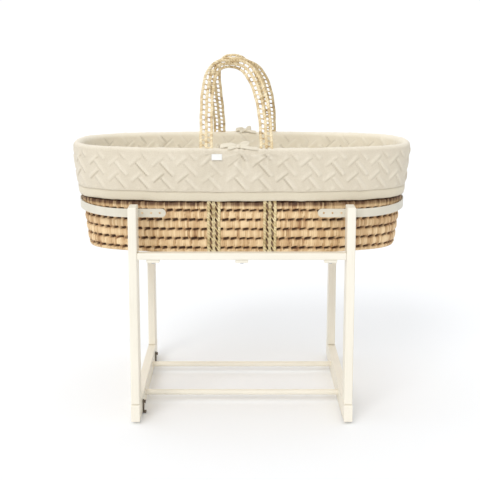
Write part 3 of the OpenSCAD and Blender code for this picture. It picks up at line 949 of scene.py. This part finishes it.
def tie_line(points):
    """A smooth line through a few given points, in millimetres from the knot."""
    return soften(fill_in([np.array(p) * MM for p in points], 1.2 * MM), 30)


def loop_width(u):
    """A loop is pinched where it enters the knot at both ends."""
    return 0.5 + 0.5 * ease(np.minimum(u, 1 - u) * 5)


def tail_width(u):
    return 0.55 + 0.45 * ease(u * 4)


BOW_LOOPS = [
    [(0, 0, 1), (-14, -3, 5), (-32, -5, 3), (-44, -1, 0), (-32, 4, 0), (-12, 3, 1), (0, 0, 1)],
    [(0, 0, 1), (10, 2, 6), (20, 4, 8), (29, 2, 5), (20, -3, 2), (8, -3, 1), (0, 0, 1)],
]
BOW_TAILS = [
    [(0, 0, 0), (12, -6, 0), (28, -8, -3), (46, -8, -4)],
    [(0, 0, 0), (-8, -6, 0), (-16, -8, -2), (-24, -9, -3)],
]


def tie_bow(end, x, spread):
    """A flat bow: two drooping loops, two tails and a knot, lying on the roll."""
    node = "front_tie_bow" if end < 0 else "rear_tie_bow"
    low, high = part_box(node)
    knot = np.array([x, (low.y + high.y) / 2, low.z + 3.2 * MM])
    pieces, length = [], 0
    for number, route in enumerate(BOW_LOOPS + BOW_TAILS):
        is_loop = number < len(BOW_LOOPS)
        line = tie_line([(along * spread, out, up) for along, out, up in route]) + knot
        side = np.array([0, 0.35, 0.94]) if is_loop else np.array([0, 0.8, 0.6])
        width = loop_width if is_loop else tail_width
        track = Track(line, side)
        length += track.length
        pieces.append(tape(node + str(number), track, TIE_W, TIE_T, 90, pucker=width))
    turn = np.linspace(-0.5, 2 * math.pi + 0.5, 40)
    ring = np.stack([0 * turn, 5.2 * MM * np.cos(turn), 3.6 * MM * np.sin(turn)], axis=-1) + knot
    track = Track(ring, (1, 0, 0))
    length += track.length
    pieces.append(tape(node + "_knot", track, 9 * MM, 2.2 * MM, 60))
    clear_selection()
    for piece in pieces:
        piece.select_set(True)
    bpy.context.view_layer.objects.active = pieces[0]
    bpy.ops.object.join()
    bow = bpy.context.object
    bow.name = node + "_ribbon"
    note(bow, "low", np.zeros(len(bow.data.vertices)))
    finish_piece(bow, finish("tie"), "basket", node, slot="tie_cloth")
    return bow


def sew_tag():
    """A blank folded tag, curved a little, with a sewn top edge."""
    low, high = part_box("label_tag")
    obj, u, v = grid("blank_tag", 40, 24)
    x = low.x + (high.x - low.x) * u
    z = low.z + (high.z - low.z) * v + 0.5 * MM * np.sin(math.pi * u)
    curl = 1.2 * MM * (1 - v) ** 2 + 0.5 * MM * np.sin(math.pi * u)
    stitch = np.where(np.abs(v - 0.88) < 0.03, 0.3 * MM * np.abs(np.sin(u * 30)), 0)
    lay_uv(obj, x, z)
    put_points(obj, np.stack([x, low.y - curl + stitch - 0.2 * MM, z], axis=-1))
    modify(obj, "SOLIDIFY", thickness=0.7 * MM, offset=0)
    face_out(obj)
    smooth(obj)
    finish_piece(obj, finish("tag_cloth"), "basket", "label_tag", slot="tag_cloth")
    return obj


SWELL_FRAMES, SWELL_LIMIT = 20, 3 * MM  # length of the simulation, and the most a point may move
QUILT = 0.07  # distance between the quilting lines, in metres


def stuff_mattress():
    """A padded mattress, swollen by a short cloth simulation, then quilted."""
    low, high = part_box("mattress_cover")
    middle = (low + high) / 2
    half = (high - low) / 2 + Vector((1 * MM, 1 * MM, 0.5 * MM))
    obj, u, v = grid("mattress_pad", 120, 40)
    angle = math.pi * (v - 0.5)
    theta = 2 * math.pi * u
    c, s = np.cos(theta), np.sin(theta)
    reach = (np.abs(c) ** 3 + np.abs(s) ** 3) ** (-1 / 3)
    ca, sa = np.cos(angle), np.sin(angle)
    lift = (np.abs(ca) ** 9 + np.abs(sa) ** 9) ** (-1 / 9)
    level = np.clip(lift * ca, 0, 1)
    put_points(obj, np.stack([middle.x + half.x * reach * c * level, middle.y + half.y * reach * s * level,
                              middle.z + half.z * lift * sa], axis=-1))
    weld(obj, 1e-5)
    face_out(obj)
    modify(obj, "REMESH", mode="VOXEL", voxel_size=6 * MM)
    before = points_of(obj)
    only(obj)
    cloth = obj.modifiers.new("swell", "CLOTH")
    cloth.settings.use_pressure = True
    cloth.settings.uniform_pressure_force = 4
    cloth.settings.effector_weights.gravity = 0
    for number in range(1, SWELL_FRAMES + 1):
        bpy.context.scene.frame_set(number)
    bpy.ops.object.modifier_apply(modifier=cloth.name)
    bpy.context.scene.frame_set(1)
    moved = points_of(obj) - before
    size = np.maximum(np.linalg.norm(moved, axis=1), 1e-9)[:, None]
    put_points(obj, before + moved * np.minimum(1, SWELL_LIMIT / size))
    modify(obj, "SUBSURF", levels=1, render_levels=1)
    flat = points_of(obj)
    x, y = (flat[:, 0] - middle.x) / half.x, (flat[:, 1] - middle.y) / half.y
    inside = np.clip(1 - (np.abs(x) ** 3 + np.abs(y) ** 3), 0, 1)
    tufts = np.minimum(np.abs(np.sin(math.pi * (flat[:, 0] + flat[:, 1]) / QUILT)),
                       np.abs(np.sin(math.pi * (flat[:, 0] - flat[:, 1]) / QUILT)))
    top = ease((flat[:, 2] - middle.z) / (8 * MM))
    flat[:, 2] += top * (5 * MM * inside ** 0.5 - 2.5 * MM * (1 - ease(tufts * 3)) * ease(inside * 4))
    put_points(obj, flat)
    smooth(obj)
    finish_piece(obj, finish("cotton"), "mattress", "mattress_cover", slot="mattress_cotton")
    return obj


# ---------- stage

CAMERA_AT = (0.0, -2.486, 0.937)
CAMERA_DIP = 10.0  # degrees below level
CAMERA_LENS = 75.0
CAMERA_SHIFT = (-0.00375, -0.0869)
FLOOR_WHITE = (0.94, 0.955, 0.975)
SUN_STRENGTH, SUN_SPREAD, SUN_TOWARD = 0.75, 24, (0.45, 1.0, -0.85)  # spread in degrees
SKY_LEFT, SKY_RIGHT = 1.03, 0.66  # strength of the surround on either side
SKY_FADE = (0.3, 0.85)  # how far to the right the change starts and ends


def soft_sun():
    """A wide, soft light that falls evenly over the whole floor."""
    light = bpy.data.lights.new("overhead", "SUN")
    light.energy, light.angle = SUN_STRENGTH, math.radians(SUN_SPREAD)
    lamp = bpy.data.objects.new("overhead", light)
    bpy.context.collection.objects.link(lamp)
    lamp.rotation_euler = Vector(SUN_TOWARD).to_track_quat("-Z", "Y").to_euler()


def build_surround():
    """A white world that is a little weaker on the right."""
    world = bpy.data.worlds.new("studio")
    world.use_nodes = True
    nodes, links = world.node_tree.nodes, world.node_tree.links
    sky = nodes["Background"]
    sky.inputs[0].default_value = (1, 1, 1, 1)
    parts = nodes.new("ShaderNodeSeparateXYZ")
    fall = nodes.new("ShaderNodeMapRange")
    fall.interpolation_type = "SMOOTHSTEP"
    for number, value in enumerate((*SKY_FADE, SKY_LEFT, SKY_RIGHT), 1):
        fall.inputs[number].default_value = value
    links.new(nodes.new("ShaderNodeTexCoord").outputs["Generated"], parts.inputs[0])
    links.new(parts.outputs[0], fall.inputs[0])
    links.new(fall.outputs[0], sky.inputs[1])
    bpy.context.scene.world = world


def build_stage():
    clear_selection()
    bpy.ops.mesh.primitive_plane_add(size=60)
    floor = bpy.context.object
    floor.name = "studio_floor"
    white = Finish("studio_white", Roughness=0.9)
    white.set("Base Color", opaque(FLOOR_WHITE))
    floor.data.materials.append(white.material)
    build_surround()
    soft_sun()
    lens = bpy.data.cameras.new("camera")
    lens.lens, lens.sensor_width = CAMERA_LENS, 36
    lens.shift_x, lens.shift_y = CAMERA_SHIFT
    camera = bpy.data.objects.new("camera", lens)
    bpy.context.collection.objects.link(camera)
    camera.location = CAMERA_AT
    camera.rotation_euler = (math.radians(90 - CAMERA_DIP), 0, 0)
    bpy.context.scene.camera = camera
    bpy.context.scene.view_settings.view_transform = "Standard"


# ---------- settings

class WeaveSizes(bpy.types.PropertyGroup):
    """Sizes of the palm weave, the braids and the handles"""
    stitches: bpy.props.IntProperty(
        name="Stitches", description="Stitches in one row round the basket", default=100)
    row_pitch: bpy.props.FloatProperty(
        name="Row height", description="Height of one woven row", default=22.7 * MM, unit="LENGTH")
    bulge: bpy.props.FloatProperty(
        name="Row bulge", description="How far a row stands out", default=3.2 * MM, unit="LENGTH")
    braid_pitch: bpy.props.FloatProperty(
        name="Braid pitch", description="Distance between two ties of the braid",
        default=14.2 * MM, unit="LENGTH")
    handle_lean: bpy.props.FloatProperty(
        name="Handle lean", description="Lean of the handles towards each other",
        default=math.radians(39), subtype="ANGLE")
    handle_twist: bpy.props.FloatProperty(
        name="Handle twist", description="Turn of the braid at the top of the arch, in degrees", default=90)


class ClothSizes(bpy.types.PropertyGroup):
    """Sizes of the cable pattern of the dressing"""
    cable_across: bpy.props.FloatProperty(
        name="Cable width", description="Distance between cables round the basket",
        default=55 * MM, unit="LENGTH")
    cable_up: bpy.props.FloatProperty(
        name="Cable height", description="Distance between rows of cables", default=37 * MM, unit="LENGTH")
    cable_height: bpy.props.FloatProperty(
        name="Cable relief", description="How far a cable stands out", default=3.4 * MM, unit="LENGTH")


# ---------- operators

class BASKET_OT_stage(bpy.types.Operator):
    """Floor, soft lights and camera"""
    bl_idname = "basket.stage"
    bl_label = "Stage"

    def execute(self, context):
        build_stage()
        return {"FINISHED"}


class BASKET_OT_stand(bpy.types.Operator):
    """Paint and hardware finishes of the stand"""
    bl_idname = "basket.stand"
    bl_label = "Stand finishes"

    def execute(self, context):
        finish_stand()
        return {"FINISHED"}


class BASKET_OT_weave(bpy.types.Operator):
    """Woven wall and base"""
    bl_idname = "basket.weave"
    bl_label = "Weave"

    def execute(self, context):
        weave_wall(context.scene.basket_weave)
        weave_base(context.scene.basket_weave)
        return {"FINISHED"}


class BASKET_OT_straps(bpy.types.Operator):
    """Braided carrying straps under the basket"""
    bl_idname = "basket.straps"
    bl_label = "Carrying straps"

    def execute(self, context):
        for side in (LEFT, RIGHT):
            carry_strap(context.scene.basket_weave, side)
        return {"FINISHED"}


class BASKET_OT_handles(bpy.types.Operator):
    """The two braided handles"""
    bl_idname = "basket.handles"
    bl_label = "Handles"

    def execute(self, context):
        sizes = context.scene.basket_weave
        handle(FRONT, *FRONT_ARCH, sizes)
        handle(REAR, *REAR_ARCH, sizes)
        return {"FINISHED"}


class BASKET_OT_dressing(bpy.types.Operator):
    """Skirt, roll, hem and liner of the dressing"""
    bl_idname = "basket.dressing"
    bl_label = "Dressing"

    def execute(self, context):
        cloth = context.scene.basket_cloth
        dress_outside(cloth)
        dress_hem()
        dress_inside(cloth)
        return {"FINISHED"}


class BASKET_OT_trim(bpy.types.Operator):
    """Tie bows and the blank tag"""
    bl_idname = "basket.trim"
    bl_label = "Bows and tag"

    def execute(self, context):
        tie_bow(FRONT, -9 * MM, 1.0)
        tie_bow(REAR, 9 * MM, 0.62)
        sew_tag()
        return {"FINISHED"}


class BASKET_OT_mattress(bpy.types.Operator):
    """The padded mattress"""
    bl_idname = "basket.mattress"
    bl_label = "Mattress"

    def execute(self, context):
        stuff_mattress()
        return {"FINISHED"}


class BASKET_PT_panel(bpy.types.Panel):
    """Sizes of the basket and the steps that make it"""
    bl_label = "Moses Basket"
    bl_space_type = "VIEW_3D"
    bl_region_type = "UI"
    bl_category = "Basket"

    def draw(self, context):
        layout = self.layout
        for group in (context.scene.basket_weave, context.scene.basket_cloth):
            for name in group.__annotations__:
                layout.prop(group, name)
        for step in STEPS:
            layout.operator(step.bl_idname)


STEPS = (BASKET_OT_stage, BASKET_OT_stand, BASKET_OT_weave, BASKET_OT_straps, BASKET_OT_handles,
         BASKET_OT_dressing, BASKET_OT_trim, BASKET_OT_mattress)
CLASSES = (WeaveSizes, ClothSizes, *STEPS, BASKET_PT_panel)


def register():
    for kind in CLASSES:
        bpy.utils.register_class(kind)
    bpy.types.Scene.basket_weave = bpy.props.PointerProperty(type=WeaveSizes)
    bpy.types.Scene.basket_cloth = bpy.props.PointerProperty(type=ClothSizes)


def unregister():
    del bpy.types.Scene.basket_cloth
    del bpy.types.Scene.basket_weave
    for kind in reversed(CLASSES):
        bpy.utils.unregister_class(kind)


def main():
    register()
    bpy.ops.basket.stage()
    bpy.ops.basket.stand()
    bpy.ops.basket.weave()
    bpy.ops.basket.straps()
    bpy.ops.basket.handles()
    bpy.ops.basket.dressing()
    bpy.ops.basket.trim()
    bpy.ops.basket.mattress()


if __name__ == "__main__":
    main()
